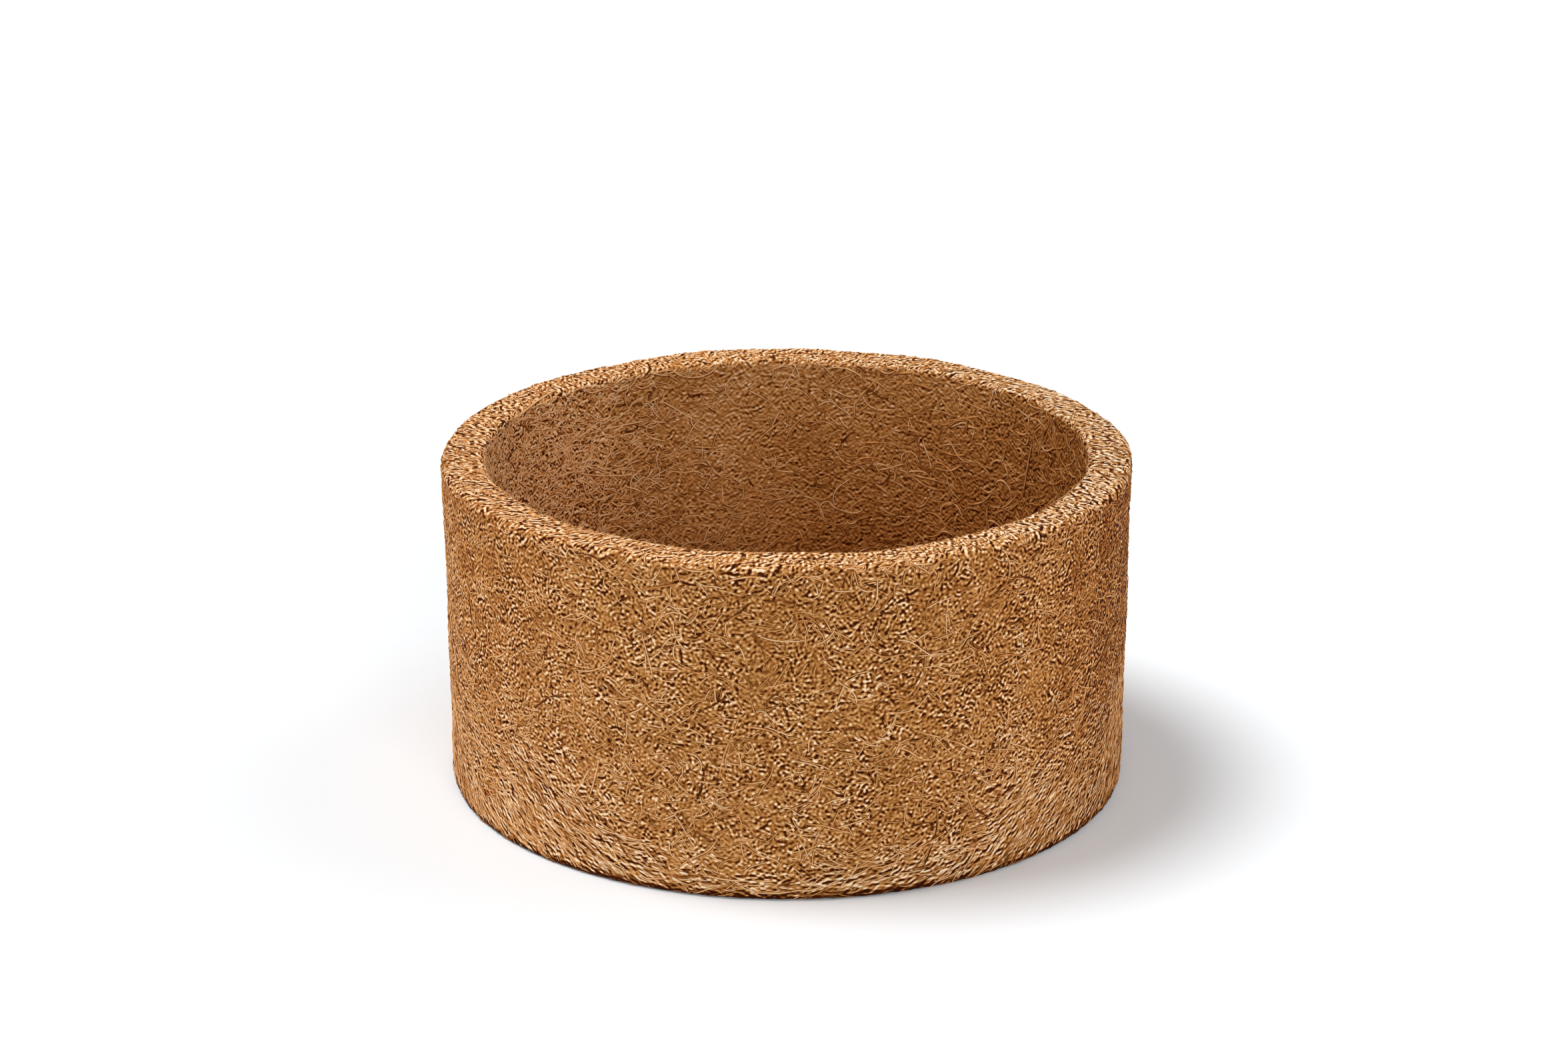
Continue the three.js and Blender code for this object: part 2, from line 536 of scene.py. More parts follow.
def both_ways(reach, step):
    """Whole steps to either side, as far as a reach."""
    count = math.ceil(reach / step)
    return np.arange(-count, count + 1)


def felt_field(strokes, start, along):
    """The strokes, added up on a grid: rows at these places along the sheet, and columns across it from a
    start, which wrap round.

    With u along a stroke and v across it from its bent path, its value is its size, times a bell along u, a
    bell along v and a wave across v. Each stroke is worked out on a patch of the grid round its middle."""
    rows, low, step = len(along), along[0], along[1] - along[0]
    reach = FADED * strokes[4].max()
    near = strokes[:, (strokes[1] > low - reach) & (strokes[1] < low + rows * step + reach)]
    total = np.zeros(rows * TURN_STEPS)
    for chunk in np.array_split(near, math.ceil(near.shape[1] / CHUNK), axis=1):
        x, y = chunk[:2, :, None, None]
        heading, stretch, length, period, bend, size = chunk[2:, :, None, None].astype(np.float32)
        column = np.rint((x - start) / TURN_STEP).astype(np.int64) + both_ways(reach, TURN_STEP)
        row = np.rint((y - low) / step).astype(np.int64) + both_ways(reach, step)[:, None]
        away_x = (start + column * TURN_STEP - x).astype(np.float32) * stretch
        away_y = (low + row * step - y).astype(np.float32)
        u = away_x * np.cos(heading) + away_y * np.sin(heading)
        v = away_y * np.cos(heading) - away_x * np.sin(heading) - bend * u**2 / 2
        value = size * np.exp(-((u / length) ** 2) - (2 * v / period) ** 2) * np.cos(TURN * v / period)
        value *= (row >= 0) & (row < rows)
        place = np.clip(row, 0, rows - 1) * TURN_STEPS + column % TURN_STEPS
        total += np.bincount(place.ravel(), value.ravel(), len(total))
    return total.reshape(rows, TURN_STEPS)


# %% [markdown]
# ## Faces
# A face of the pot is a stretch of the skin with its own grains and colour, and two habits that depend on the
# place: its flow, which is the way its strokes head and how freely, and its tint.
#
# Outside, the strokes are short and lie more or less level, in bundles that turn a little up or down. Near
# the foot they are combed into streams that sweep down from both sides towards the front, as felt does when
# it slides in the press.

# %% Describe a face, and the outer wall
FRONT = -math.pi / 2
FACE_OVERLAP = 1.0  # how far a wall reaches onto the rim's rounded edge
LEVEL_SPREAD = 0.75
BUNDLE_TURN = 0.3
LEVEL_RISE = 0.1
COMB_SLOPE = math.radians(46)
COMB_LOW, COMB_HIGH = 12.0, 56.0
COMB_POWER = 1.5  # how late the combed height grows from the front to the sides
COMB_FADE = 1.5
COMB_EDGE = 0.25
COMBED_SPREAD = 0.32
COMBED_STRAIGHT = 0.8
# lighter where combed, with painted light on the right of it
COMBED_TONE, COMBED_PAINTED_RIGHT_LIGHT = 0.06, 0.5
COMBED_BOLDER = 0.5
# painted light on the left
PAINTED_LEFT_LIGHT, LEFT_TURN = 0.055, 0.25
SIDE_TONE, SIDE_BOLDER, SIDE_ROSY = 0.02, 0.2, 0.7
# painted shade towards the rim
PAINTED_TOP_SHADE = 0.05
# a painted contact shadow under the foot, reaching this far above the foot's arc
FOOT_LINE = 1.2
# painted shade at the right edge, and where it starts
PAINTED_RIGHT_SHADE, RIGHT_FROM = 0.23, 0.72
# the painted contact shadow under the foot, at its darkest
PAINTED_FOOT_SHADOW = 1.0
PATCH_TONE = 0.022
PATCH_BOLDER = 0.16


@dataclass(frozen=True)
class Face:
    """A face of the pot: what it belongs to, its stretch of the skin, its grains, colour and habits."""

    node: str
    slot: str
    stretch: tuple
    grains: tuple
    tone: float
    contrast: float
    rosiness: float
    flow: Callable
    tint: Callable
    stroke_share: float = 1.0  # contrast of the strokes for each unit of contrast of the grain


def turned_from(angle, start):
    """The angle from a start, between minus and plus half a turn."""
    return (angle - start + math.pi) % TURN - math.pi


def combing(angle, along):
    """How far the felt is combed, from 0 to 1: near the foot, and up to a height that is greater at the sides
    of the pot than at its front, with an uneven edge."""
    comb_height = COMB_LOW + COMB_HIGH * np.abs(np.sin(turned_from(angle, FRONT))) ** COMB_POWER
    uneven = COMB_EDGE * slow_waves(angle, along, finer=(1, 2), shift=3)
    return np.clip(COMB_FADE * (1 - (along - foot_arc[0]) / comb_height) + uneven, 0, 1)


def outer_flow(angle, along):
    """About level, from bundle to bundle. Where felt is combed it is stricter and straighter, and follows a
    slope that is the sine of the angle from the front."""
    combed = combing(angle, along)
    slope = COMB_SLOPE * np.sin(turned_from(angle, FRONT))
    spread = LEVEL_SPREAD + (COMBED_SPREAD - LEVEL_SPREAD) * combed
    bundle = LEVEL_RISE + BUNDLE_TURN * slow_waves(angle, along, finer=(5, 5), shift=1)
    middle = bundle + (slope - bundle) * combed
    return np.stack([middle, spread, COMBED_STRAIGHT * combed])


def outer_tint(angle, along):
    """Lighter where it is combed, and painted light on the right of that; painted light on the left; painted
    shade at the right edge and towards the rim, and a painted contact shadow under the foot; bolder and
    rosier at the sides; and slow patches, lighter or bolder."""
    patch = slow_waves(angle, along, finer=(3, 4))
    bold_patch = slow_waves(angle, along, finer=(4, 3), shift=1)
    combed = combing(angle, along)
    # painted light on the left, painted shade at the right edge and towards the rim, a painted contact shadow
    # under the foot
    left = PAINTED_LEFT_LIGHT * (1 - np.tanh((np.cos(angle) + LEFT_TURN) / LEFT_TURN)) / 2
    right = PAINTED_RIGHT_SHADE * np.clip((np.cos(angle) - RIGHT_FROM) / (1 - RIGHT_FROM), 0, 1)
    under = PAINTED_FOOT_SHADOW * np.clip((foot_arc[1] + FOOT_LINE - along) / (foot_arc[1] - foot_arc[0]), 0, 1)
    top = PAINTED_TOP_SHADE * along / rim_arc[0]
    side = np.cos(angle) ** 2
    # lighter where combed, with painted light on the right of it
    low = COMBED_TONE * combed * (1 + COMBED_PAINTED_RIGHT_LIGHT * np.clip(np.cos(angle), 0, 1))
    lighter = low + SIDE_TONE * side + PATCH_TONE * patch + left - right - top - under
    bolder = COMBED_BOLDER * combed + PATCH_BOLDER * bold_patch + SIDE_BOLDER * side
    return lighter, bolder, SIDE_ROSY * side


outer_face = Face(
    node="outer_wall_strip",
    slot="outer_felt",
    stretch=(0, rim_arc[0] + FACE_OVERLAP),
    grains=(FINE, BOLD),
    tone=0.465,
    contrast=0.142,
    rosiness=0.25,
    flow=outer_flow,
    tint=outer_tint,
)

# %% [markdown]
# Inside, the felt is darker, with longer strokes that lie mostly round the wall. It has painted shade
# towards the floor and the right, and painted light on the left, where it is bolder and rosier too.

# %% Describe the inner wall
INNER_SPREAD = 0.6
INNER_RISE = 0.12
# painted light on the left, where the grain is also bolder and rosier
PAINTED_INNER_LEFT_LIGHT, LEFT_BOLDER, LEFT_ROSY = 0.1, 1.8, 0.7
LEFT_FROM, LEFT_TO = 0.5, 0.95
# painted shade on the right
PAINTED_INNER_RIGHT_SHADE = 0.14
# painted shade towards the floor
PAINTED_DEPTH_SHADE = 0.14


def inner_flow(angle, along):
    """Mostly level, a little downhill round the wall from the left to the right."""
    return np.stack([INNER_RISE * np.cos(angle), INNER_SPREAD + 0 * angle, 0 * angle])


def inner_tint(angle, along):
    """Painted light on the left, which is bolder and rosier too; painted shade on the right and towards
    the floor; and slow patches.
    """
    # the left is painted light; the right and the depth are painted shade
    left = np.clip((-np.cos(angle) - LEFT_FROM) / (LEFT_TO - LEFT_FROM), 0, 1)
    right = PAINTED_INNER_RIGHT_SHADE * np.clip(np.cos(angle), 0, 1)
    deep = PAINTED_DEPTH_SHADE * (along - lip_arc[1]) / (skin_end - lip_arc[1])
    patch = PATCH_TONE * slow_waves(angle, along, finer=(1, 1.5), shift=2)
    return PAINTED_INNER_LEFT_LIGHT * left - right - deep + patch, LEFT_BOLDER * left, LEFT_ROSY * left


inner_face = Face(
    node="inner_wall_strip",
    slot="inner_felt",
    stretch=(lip_arc[1] - FACE_OVERLAP, skin_end),
    grains=(FINE, replace(BOLD, length=(1.5, 4.5))),
    tone=0.565,
    contrast=0.095,
    rosiness=0.35,
    flow=inner_flow,
    tint=inner_tint,
)

# %% [markdown]
# The rim is where the felt was cut: short, pale ends with dark holes between them, over both rounded edges.

# %% Describe the rim
RIM_SLANT = TURN / 8
RIM_SPREAD = 0.7
RIM_END_TONE = 0.07
RIM_SIDE_BOLDER = 0.6
RIM_LEFT_ROSY = 0.3


def rim_flow(angle, along):
    """Mostly aslant, between round the wall and across it."""
    return np.stack([RIM_SLANT + 0 * angle, RIM_SPREAD + 0 * angle, 0 * angle])


def rim_tint(angle, along):
    """Lightest at the front and the back, bolder at the sides, and rosier on the left."""
    end, side = np.sin(angle) ** 2, np.cos(angle) ** 2
    return RIM_END_TONE * end, RIM_SIDE_BOLDER * side, -RIM_LEFT_ROSY * np.cos(angle)


rim_face = Face(
    node="outer_wall_strip",
    slot="outer_felt",
    stretch=(rim_arc[0], lip_arc[1]),
    grains=(
        replace(FINE, density=1.0, length=(0.9, 2.0)),
        replace(BOLD, length=(1.2, 2.6), period=(1.8, 2.6)),
    ),
    tone=0.547,
    contrast=0.18,
    stroke_share=1.5,
    rosiness=0.6,
    flow=rim_flow,
    tint=rim_tint,
)

# %% [markdown]
# ## Felt plies
# The wall is two plies of felt, each a strip rolled into a ring, and they meet in the middle of the rim.
# The strokes are drawn first, for the whole skin, so that they run on from face to face.

# %% Spread the strokes over the whole skin


def drawn_headings(random, face, angle, along):
    """Headings that follow a face's flow in these places, and how straight it is there."""
    middle, spread, straight = face.flow(angle, along)
    return middle + spread * random.normal(0, 1, len(angle)), straight


def face_strokes(random, face, grain):
    """Strokes of a grain, spread over a face. The sheet is as wide as the rim is round, and stretch says how
    much narrower it is where a stroke lies."""
    low, high = face.stretch
    count = int(grain.density * TURN * rim_radius * (high - low))
    angle = FRONT + random.uniform(0, TURN, count)
    along = random.uniform(low, high, count)
    heading, straight = drawn_headings(random, face, angle, along)
    x, stretch = (angle - FRONT) * rim_radius, skin_radius(along) / rim_radius
    return draw_strokes(random, grain, x, along, heading, straight, stretch)


stroke_draw = np.random.default_rng(20)
wall_faces = (outer_face, rim_face, inner_face)
fine_strokes, bold_strokes = (
    np.concatenate([face_strokes(stroke_draw, face, face.grains[i]) for face in wall_faces], axis=1)
    for i in range(2)
)
print(f"{fine_strokes.shape[1]} fine strokes and {bold_strokes.shape[1]} bold ones")

# %% [markdown]
# A ply's face takes its relief and its tone from the strokes' field, and over the rounded edge its colour
# and flow turn into the rim's. Where the strip's ends overlap the felt swells a little, with a shallow, dark
# groove along the joint.

# %% Work out the face of a ply
RELIEF = 0.04
FIELD_SPREAD = 1.8  # how far the field usually is from 0
DEEPEST = 2.6
# deepens the gaps, in the relief and in their painted shade
GAP_DEEPER = 1.6
LAP_HEIGHT, LAP_WIDTH = 0.55, 8.0
GROOVE_DEPTH, GROOVE_WIDTH = 0.25, 0.9
GROOVE_TONE = 0.9
RIM_DRAWN_OUT = 2.0  # how much longer the grain is across the rim
RIM_SHEET = (lip_arc[0] - rim_arc[1]) / RIM_DRAWN_OUT
SHEET_HEIGHTS = np.cumsum([0, rim_arc[1], RIM_SHEET, skin_end - lip_arc[0]])
EVERY_WAY = TURN / 4 / math.sqrt(3)  # the spread of headings that lie every way


def ply_field(along, seam_at):
    """The strokes' field, once round from a seam, in units of its usual spread and with its gaps deepened.
    The first step comes again at the end."""
    start = (seam_at - FRONT) * rim_radius
    field = felt_field(fine_strokes, start, along) + felt_field(bold_strokes, start, along)
    field = np.clip(field / FIELD_SPREAD, -DEEPEST, DEEPEST).T
    field = np.where(field < 0, GAP_DEEPER * field, field)
    return np.concatenate([field, field[:1]])


def bell(angle, seam_at, width):
    """A bell across a seam, 1 in its middle."""
    across = turned_from(angle, seam_at) * rim_radius
    return np.exp(-((across / width) ** 2))


def place_colour(face, angle, along):
    """A face's tone, contrast of the grain and of the strokes, and rosiness in these places."""
    lighter, bolder, rosier = face.tint(angle, along)
    contrast = face.contrast * (1 + bolder)
    return np.stack([face.tone + lighter, contrast, face.stroke_share * contrast, face.rosiness + rosier])


def felt_face(face, angles, alongs, field, seam_at):
    """The points of a ply's face, with the vectors that they carry for the felt finish. On the finish's sheet
    the wall has its usual radius all along, and the rim is shorter, so that its grain is drawn out."""
    sunk = GROOVE_DEPTH * bell(angles, seam_at, GROOVE_WIDTH)
    lap = LAP_HEIGHT * bell(angles, seam_at, LAP_WIDTH)
    points, _ = on_skin(angles, alongs, RELIEF * field + lap - sunk)
    points[..., 2] = np.maximum(points[..., 2], 0)
    rim = np.interp(alongs, [*rim_arc, *lip_arc], [0, 1, 1, 0])
    own_colour, rim_colour = (place_colour(one, angles, alongs) for one in (face, rim_face))
    own_flow, cut_flow = (one.flow(angles, alongs) for one in (face, rim_face))
    tone, contrast, stroke_contrast, rosiness = (1 - rim) * own_colour + rim * rim_colour
    middle, spread, _ = (1 - rim) * own_flow + rim * cut_flow
    # darker where the field is low, partly grain and partly painted shade; darker again in the seam's groove
    tone = tone + stroke_contrast * field - GROOVE_TONE * sunk
    strict = np.clip(1 - spread / EVERY_WAY, 0, 1)
    sheet_x = (angles - seam_at) * skin_radius(sum(face.stretch) / 2)
    sheet_y = np.interp(alongs, [0, rim_arc[1], lip_arc[0], skin_end], SHEET_HEIGHTS)
    return {
        "points": points,
        "sheet": together(sheet_x, sheet_y, 0),
        "lay": together(middle + TURN / 4, strict, 0),
        "colour": together(tone, contrast, rosiness),
    }


# %% [markdown]
# A ply's section is its face, closed by plain sides towards the other ply. It is carried round the pot in
# sectors, which meet face to face, because one mesh for a whole ply would be too large.

# %% Roll the plies
OUTER_SECTORS, INNER_SECTORS = 4, 3
SEAM_RUN = 15.0  # how far the CAD's seams slant along the wall
RIM_CLOSED = 1.0  # how far below the rim a ply's plain sides start
BACK_TONE = 0.4
CHART_WIDE = 0.94


def block_faces(steps, count):
    """The faces of a section of so many points, carried so many steps, and of its two ends."""
    here = np.arange(steps)[:, None] * count + np.arange(count)
    above = np.arange(steps)[:, None] * count + (np.arange(count) + 1) % count
    quads = together(here, here + count, above + count, above)
    ends = np.stack([np.arange(count), steps * count + np.arange(count)[::-1]])
    return [quads.reshape(-1, 4), ends]


def block_chart(points):
    """A map for such a block: its quads fill most of the square, step by step and row by row, and beside
    them lie its two ends, as the section is drawn, each in a third of the room."""
    steps, count = points.shape[0] - 1, points.shape[1]
    step, row = np.broadcast_arrays(np.arange(steps)[:, None], np.arange(count))
    u = together(step, step + 1, step + 1, step) * CHART_WIDE / steps
    v = together(row, row, row + 1, row + 1) / count
    section = together(np.hypot(points[0, :, 0], points[0, :, 1]), points[0, :, 2])
    section = (section - section.min(axis=0)) / np.ptp(section, axis=0)
    strip = np.array([(1 - CHART_WIDE) / 3, 1.0])
    first_end = section * strip + [CHART_WIDE + strip[0] / 4, 0]
    last_end = section[::-1] * strip + [CHART_WIDE + strip[0] * 3 / 2, 0]
    return np.concatenate([together(u, v).reshape(-1, 2), first_end, last_end])


def plain_back(corners, angle):
    """The points of a ply's plain sides, from corners that are (inset from the outer face, height), with the
    same vectors."""
    inset, level = np.array(corners).T
    points = turned(outer_radius(level) - inset, angle, level)
    plain = 0 * points
    return {"points": points, "sheet": plain, "lay": plain, "colour": plain + [BACK_TONE, 0, 0]}


def felt_ply(name, face, along, back_corners, seam_at, sectors):
    """A rolled strip: its face and its plain back, carried round from its seam and cut into sectors. Edges
    stay sharp between sectors and round the back."""
    angle = seam_at + TURN * np.arange(TURN_STEPS + 1)[:, None] / TURN_STEPS
    front = felt_face(face, *np.broadcast_arrays(angle, along), ply_field(along, seam_at), seam_at)
    back = plain_back(back_corners, angle)
    block = {key: np.concatenate([front[key], back[key]], axis=1) for key in front}
    steps, count = TURN_STEPS // sectors, len(along) + len(back_corners)
    border = np.zeros((steps + 1, count), bool)
    border[[0, -1]] = True
    border[:, 0] = True
    border[:, len(along) - 1 :] = True
    for i in range(sectors):
        sector = {key: values[i * steps : (i + 1) * steps + 1] for key, values in block.items()}
        points = sector.pop("points")
        make_piece(
            f"{name}_{i + 1}",
            points.reshape(-1, 3),
            block_faces(steps, count),
            face.slot,
            face.node,
            coir_felt,
            block_chart(points),
            border.ravel(),
            **sector,
        )


rim_middle = (rim_arc[1] + lip_arc[0]) / 2
under_rim = height - RIM_CLOSED
skived_half = SEAM_RUN / 2 / rim_radius
outer_along = np.linspace(0, rim_middle, round(rim_middle / CELL) + 1)
inner_along = np.linspace(rim_middle, skin_end, round((skin_end - rim_middle) / INNER_CELL) + 1)
outer_back = [(ply, under_rim)]
inner_back = [(wall, inner_ply_up), (inner_ply_in, inner_ply_up), (inner_ply_in, under_rim)]
felt_ply("outer_wall_felt", outer_face, outer_along, outer_back, math.pi / 2 - skived_half, OUTER_SECTORS)
felt_ply("inner_wall_felt", inner_face, inner_along, inner_back, -math.pi / 2 + skived_half, INNER_SECTORS)

# %% [markdown]
# ## Felt discs
# The base and the floor are discs of the same felt, cut flat, with a grain that turns this way and that. The
# floor's felt reaches out over the joint to the wall. Both faces of a disc lie in the same place on its map,
# because the grain runs right through.

# %% Cut the discs
DISC_RINGS, DISC_TURN_STEPS = 40, 180
DISC_MIDDLE = 1.0
DISC_TRIM = 0.4
DISC_DEPTH = 0.3  # how far the felt lies below the CAD's face
DISC_SPAN = 0.48
JOINT = 0.7
DISC_TONE, DISC_CONTRAST, DISC_ROSINESS = 0.5, 0.14, 0.2
DISC_STRICT = 0.35
DISC_TURNS, DISC_RUN = 2.2, 26.0


def flipped(face_groups):
    """The same faces, seen from the other side."""
    return [np.roll(group[:, ::-1], 1, axis=1) for group in face_groups]


def felt_disc(name, node, slot, radius, shown_level, hidden_level):
    """A disc: a ring of points, carried out over the hidden face, round the trimmed edge and back over the
    face that shows. Its two ends are small round faces in the middle."""
    upward = np.sign(shown_level - hidden_level)
    shown = shown_level - upward * DISC_DEPTH
    ring = np.concatenate([[DISC_MIDDLE, radius], np.linspace(radius - DISC_TRIM, DISC_MIDDLE, DISC_RINGS)])
    level = np.concatenate([[hidden_level] * 2, [shown] * DISC_RINGS])
    angle = TURN * np.arange(DISC_TURN_STEPS) / DISC_TURN_STEPS
    points = turned(ring[:, None], angle, level[:, None]).reshape(-1, 3)
    faces = block_faces(len(ring) - 1, DISC_TURN_STEPS)
    if upward > 0:
        faces = flipped(faces)
    chart = 0.5 + DISC_SPAN * points[corners_of(faces), :2] / radius
    sheet = points * [1, 1, 0]
    across = DISC_TURNS * (np.sin(points[:, 0] / DISC_RUN) + np.cos(points[:, 1] / DISC_RUN))
    lay = together(across, DISC_STRICT, 0)
    colour = 0 * points + [DISC_TONE, DISC_CONTRAST, DISC_ROSINESS]
    make_piece(name, points, faces, slot, node, coir_felt, chart, sheet=sheet, lay=lay, colour=colour)


felt_disc("floor_felt", "floor_disc", "inner_felt", floor_radius + JOINT, floor_top, inner_ply_up)
felt_disc("base_felt", "base_disc", "outer_felt", base_radius - inner_ply_in, 0, ply)

# %% [markdown]
# ## How a strand lies
# A loose strand is a path on the flat sheet, with a heading, a steady curl and a slow swing, and a height
# that weaves in and out of the mat and dives into it at both ends. Lay holds those habits.

# %% Describe a lay and draw its paths


@dataclass(frozen=True)
class Lay:
    """How strands lie. Lengths are in millimetres, angles in radians, and a pair is a range."""

    length: tuple
    width: tuple  # from the middle of a strand to its edge
    curl: float  # usual turn along each millimetre
    swing: float  # usual turn to either side
    level: tuple  # from the nominal face
    weave: float  # rise and fall
    waves: tuple  # rises and falls along a strand
    tuck: float  # how far both ends dive
    flat: float  # the share of a strand that stays up
    fleck: float  # change of tone from step to step
    steps: int


LOOSE = Lay(
    length=(3.0, 12.0),
    width=(0.22, 0.36),
    curl=0.07,
    swing=0.35,
    level=(-0.05, 0.12),
    weave=0.15,
    waves=(1.0, 2.5),
    tuck=0.6,
    flat=0.5,
    fleck=0.06,
    steps=7,
)
LONG = replace(LOOSE, length=(4.0, 18.0), width=(0.3, 0.46), curl=0.09, steps=10)
THICK = replace(LOOSE, width=(0.32, 0.5), curl=0.1)
CROSSING = replace(LONG, length=(6.0, 20.0), width=(0.26, 0.4), curl=0.04, swing=0.25)
CUT = replace(LOOSE, length=(2.0, 6.0), width=(0.25, 0.42), curl=0.2, weave=0.1, waves=(0.5, 1.0), steps=5)
HUSK = replace(CUT, length=(1.2, 3.5), width=(0.25, 0.45))


def flat_paths(heading, length, curl, swing, phase, steps):
    """Strand paths on a flat sheet: millimetres across it and up it, from each strand's middle.

    The direction is the heading, plus the curl times the way gone, plus a wave of the swing; the path adds up
    equal steps in that direction."""
    share = np.linspace(-0.5, 0.5, steps + 1)
    way = (share[1:] + share[:-1]) / 2
    wave = swing[:, None] * np.sin(TURN * way + phase[:, None])
    direction = heading[:, None] + (curl * length)[:, None] * way + wave
    paces = np.stack([np.cos(direction), np.sin(direction)]) * length[:, None] / steps
    path = np.concatenate([np.zeros((2, len(heading), 1)), np.cumsum(paces, axis=2)], axis=2)
    return path - path.mean(axis=2, keepdims=True)


def wander(random, heading, straight, lay):
    """Flat paths with these headings. Curl is drawn from a two-sided exponential: most strands hardly bend,
    and a few loop. Where strands are straight, from 0 to 1, they turn less and show for longer."""
    count = len(heading)
    length = random.uniform(*lay.length, count) * (1 + COMBED_LONGER * straight)
    curl = random.laplace(0, lay.curl, count) * (1 - straight)
    swing = random.normal(0, lay.swing, count) * (1 - straight)
    phase = random.uniform(0, TURN, count)
    return flat_paths(heading, length, curl, swing, phase, lay.steps)


def weave(random, count, lay):
    """How high each strand lies along its way: its level, a wave over and under its neighbours, and a dive
    towards both ends that grows with the square of the distance."""
    share = np.linspace(-1, 1, lay.steps + 1)
    level = random.uniform(*lay.level, (count, 1))
    waves = random.uniform(*lay.waves, (count, 1))
    phase = random.uniform(0, TURN, (count, 1))
    dive = np.clip((np.abs(share) - lay.flat) / (1 - lay.flat), 0, 1) ** 2
    return level + lay.weave * np.sin(math.pi * waves * share + phase) - lay.tuck * dive


# %% [markdown]
# A strand's mesh is a three-sided tube, flattened and closed at both ends: a ridge that runs down to an edge
# on either side. Smooth shading rounds it off. Along its ridge a strand is lighter or darker than the mat,
# and it fades into the mat at its edges and ends, with painted shade here and there in the gaps beside it. A
# face needs some width on the map to be baked, so the corners round a tube never share one rosiness. All the
# tubes of a piece are made at once, as arrays of strand, step and side.

# %% Make tubes from paths
SIDES = 3
THIN_END = 0.45
END_POWER = 4  # how late a strand thins and fades towards its ends
TONE_RUN, ROSY_RUN = 0.015, 0.01
ROSY_SPREAD = 0.15
CHART_EDGE = 0.03  # left free round the map
# painted shade in the gaps beside a strand
PAINTED_GAP_SHADE = 0.85  # the darkest of the gaps beside a strand
SECTION_SIDE = np.array([0, -1, 1])[:, None]
SECTION_RISE = np.array([0.5, -0.1, -0.1])[:, None]


def strand_tones(random, middle, contrast, lay):
    """The tone of each corner of each step: the mat's tone along both edges, darker here and there with
    painted shade in the gaps, and along the ridge the strand's contrast more, which fades towards both ends,
    with a fleck at each step."""
    share = np.linspace(-1, 1, lay.steps + 1)
    mat = middle[:, None] + TONE_RUN * share
    ridge = mat + contrast[:, None] * (1 - share**END_POWER) + lay.fleck * random.normal(0, 1, mat.shape)
    # painted shade in the gaps, here and there along both edges
    gaps = PAINTED_GAP_SHADE * random.uniform(0, 1, (*mat.shape, 2)) ** 2
    return np.concatenate([ridge[:, :, None], mat[:, :, None] - gaps], axis=2)


def strand_piece(name, slot, node, random, lay, points, normals, tone, contrast, rosiness):
    """One piece of many strands; their tones, rosiness and widths are drawn here. At each step along its path
    a tube has three corners, a ridge up from the felt and an edge to either side, and it thins towards both
    ends. Nothing reaches below the surface that the pot stands on."""
    count, rings = points.shape[:2]
    tones = strand_tones(random, tone, contrast, lay)
    rosiness = rosiness + ROSY_SPREAD * random.normal(0, 1, count)
    width = random.uniform(*lay.width, count)
    forward = unit(np.gradient(points, axis=1))
    side = unit(np.cross(normals, forward))
    up = np.cross(forward, side)
    thin = 1 - (1 - THIN_END) * np.linspace(-1, 1, rings) ** END_POWER
    reach = (width[:, None] * thin)[:, :, None, None]
    corners = points[:, :, None] + reach * (SECTION_SIDE * side[:, :, None] + SECTION_RISE * up[:, :, None])
    corners[..., 2] = np.maximum(corners[..., 2], 0)
    tube = flipped(block_faces(rings - 1, SIDES))
    first = np.arange(count)[:, None, None] * rings * SIDES
    faces = [(first + group).reshape(-1, group.shape[1]) for group in tube]
    rosy = rosiness[:, None, None] + ROSY_RUN * np.arange(SIDES)
    chart = np.clip(together(tones, rosy), CHART_EDGE, 1 - CHART_EDGE).reshape(-1, 2)[corners_of(faces)]
    make_piece(name, corners.reshape(-1, 3), faces, slot, node, coir_strand, chart)


# %% [markdown]
# ## Loose strands
# On every face some fibres have come loose from the mat. They lie on top of it, dive back in at both ends,
# and are mostly a little paler than the felt. Outside there are a few long ones that cross the others, more
# fibres low down, where the felt was combed, and some dark bits of husk.

# %% Lay loose strands
ROSIER = 0.2
BOLDNESS = (0.7, 0.5)  # middle and scale of a two-sided spread: most strands are paler than the mat
ALL_ROUND = (0, TURN)
INNER_LEFT = (math.radians(115), math.radians(205))


def folded(value, low, high):
    """A length that turns back at both ends of a stretch, as a strand does at an edge."""
    span = high - low
    return low + span - np.abs((value - low) % (2 * span) - span)


def laid_strands(name, random, face, lay, angle, along, path, bold):
    """Strands on a face, so bold against the mat: flat paths, wrapped onto the pot at the radius there."""
    across, up = path
    angles = angle[:, None] + across / skin_radius(along)[:, None]
    alongs = folded(along[:, None] + up, *face.stretch)
    points, normals = on_skin(angles, alongs, weave(random, len(angle), lay))
    tone, contrast, _, rosiness = place_colour(face, angle, along)
    bold = bold * contrast / face.contrast
    strand_piece(name, face.slot, face.node, random, lay, points, normals, tone, bold, rosiness + ROSIER)


